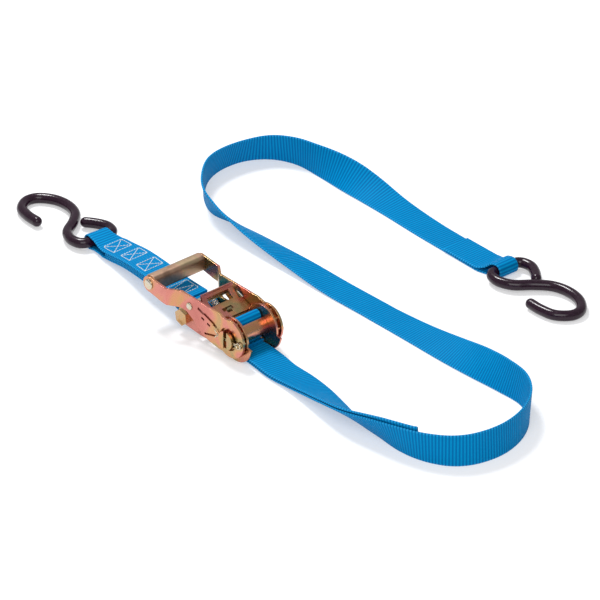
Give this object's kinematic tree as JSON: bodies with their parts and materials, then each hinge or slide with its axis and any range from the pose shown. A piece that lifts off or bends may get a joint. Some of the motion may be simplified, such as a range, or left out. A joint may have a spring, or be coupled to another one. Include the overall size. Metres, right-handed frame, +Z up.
{
  "type": "ratchet tie down",
  "caption": "Ratchet tie down with a steel ratchet, a short anchor strap, a long looped load strap and a coated S hook on each end.",
  "frame": {"origin": "middle of the spool's axis, in the slot that the webbing passes through", "axes": "+X runs from the anchor bolt to the spool, +Y across the ratchet, +Z up from the ground"},
  "size_m": [0.5045, 0.2625, 0.0391],
  "materials": {
    "plated_steel": "zinc plated and yellow passivated",
    "grip_steel": "zinc plated and passivated, dull",
    "fastener_steel": "zinc plated and yellow passivated",
    "spring_steel": "bright drawn wire",
    "webbing": "woven polyester",
    "hook_coating": "dipped vinyl over steel wire"
  },
  "bodies": {
    "frame": {"frame_plate_near": "plated_steel", "frame_plate_far": "plated_steel", "frame_bridge": "plated_steel", "anchor_bolt": "fastener_steel", "anchor_nut": "fastener_steel", "anchor_sleeve": "fastener_steel", "lock_spring": "spring_steel", "main_strap": "webbing", "main_strap_end": "webbing", "strap_tail": "webbing"},
    "lock_pawl": {"lock_pawl": "plated_steel"},
    "spool": {"half_shaft_rear": "fastener_steel", "half_shaft_front": "fastener_steel", "ratchet_wheel_near": "plated_steel", "ratchet_wheel_far": "plated_steel", "cotter_pin_near": "spring_steel", "cotter_pin_far": "spring_steel", "strap_wrap": "webbing"},
    "handle": {"handle_plate_near": "plated_steel", "handle_plate_far": "plated_steel", "grip_channel": "grip_steel", "grip_rivet": "fastener_steel", "handle_crossbar": "fastener_steel", "release_spring": "spring_steel"},
    "release_slider": {"release_slider": "plated_steel"},
    "anchor_strap": {"anchor_strap": "webbing", "anchor_strap_end": "webbing"},
    "left_hook": {"left_hook": "hook_coating"},
    "right_hook": {"right_hook": "hook_coating"}
  },
  "joints": [
    {"name": "spool_spin", "type": "hinge", "parent": "frame", "child": "spool", "pos_m": [0, 0, 0], "axis": [0, 1, 0], "continuous": true},
    {"name": "handle_swing", "type": "hinge", "parent": "frame", "child": "handle", "pos_m": [0, 0, 0], "axis": [0, 1, 0], "range_deg": [0, 160]},
    {"name": "release_slide", "type": "slide", "parent": "handle", "child": "release_slider", "axis": [-0.9397, 0, 0.342], "range_m": [0, 0.005], "stiffness_N_per_m": 600, "springref_m": -0.004, "deforming": ["release_spring"]},
    {"name": "lock_slide", "type": "slide", "parent": "frame", "child": "lock_pawl", "axis": [-0.9659, 0, -0.2588], "range_m": [0, 0.004], "stiffness_N_per_m": 600, "springref_m": -0.003, "deforming": ["lock_spring"]},
    {"name": "anchor_strap_pivot", "type": "hinge", "parent": "frame", "child": "anchor_strap", "pos_m": [-0.052, 0, -0.0042], "axis": [0, 1, 0], "range_deg": [-45, 10]},
    {"name": "left_hook_pivot", "type": "hinge", "parent": "anchor_strap", "child": "left_hook", "pos_m": [-0.191, 0.021, -0.012], "axis": [0.0767, 0.9971, 0], "range_deg": [-30, 100]},
    {"name": "right_hook_pivot", "type": "hinge", "parent": "frame", "child": "right_hook", "pos_m": [0.0413, 0.2146, -0.012], "axis": [-0.0175, -0.9998, 0], "range_deg": [-30, 100]}
  ]
}
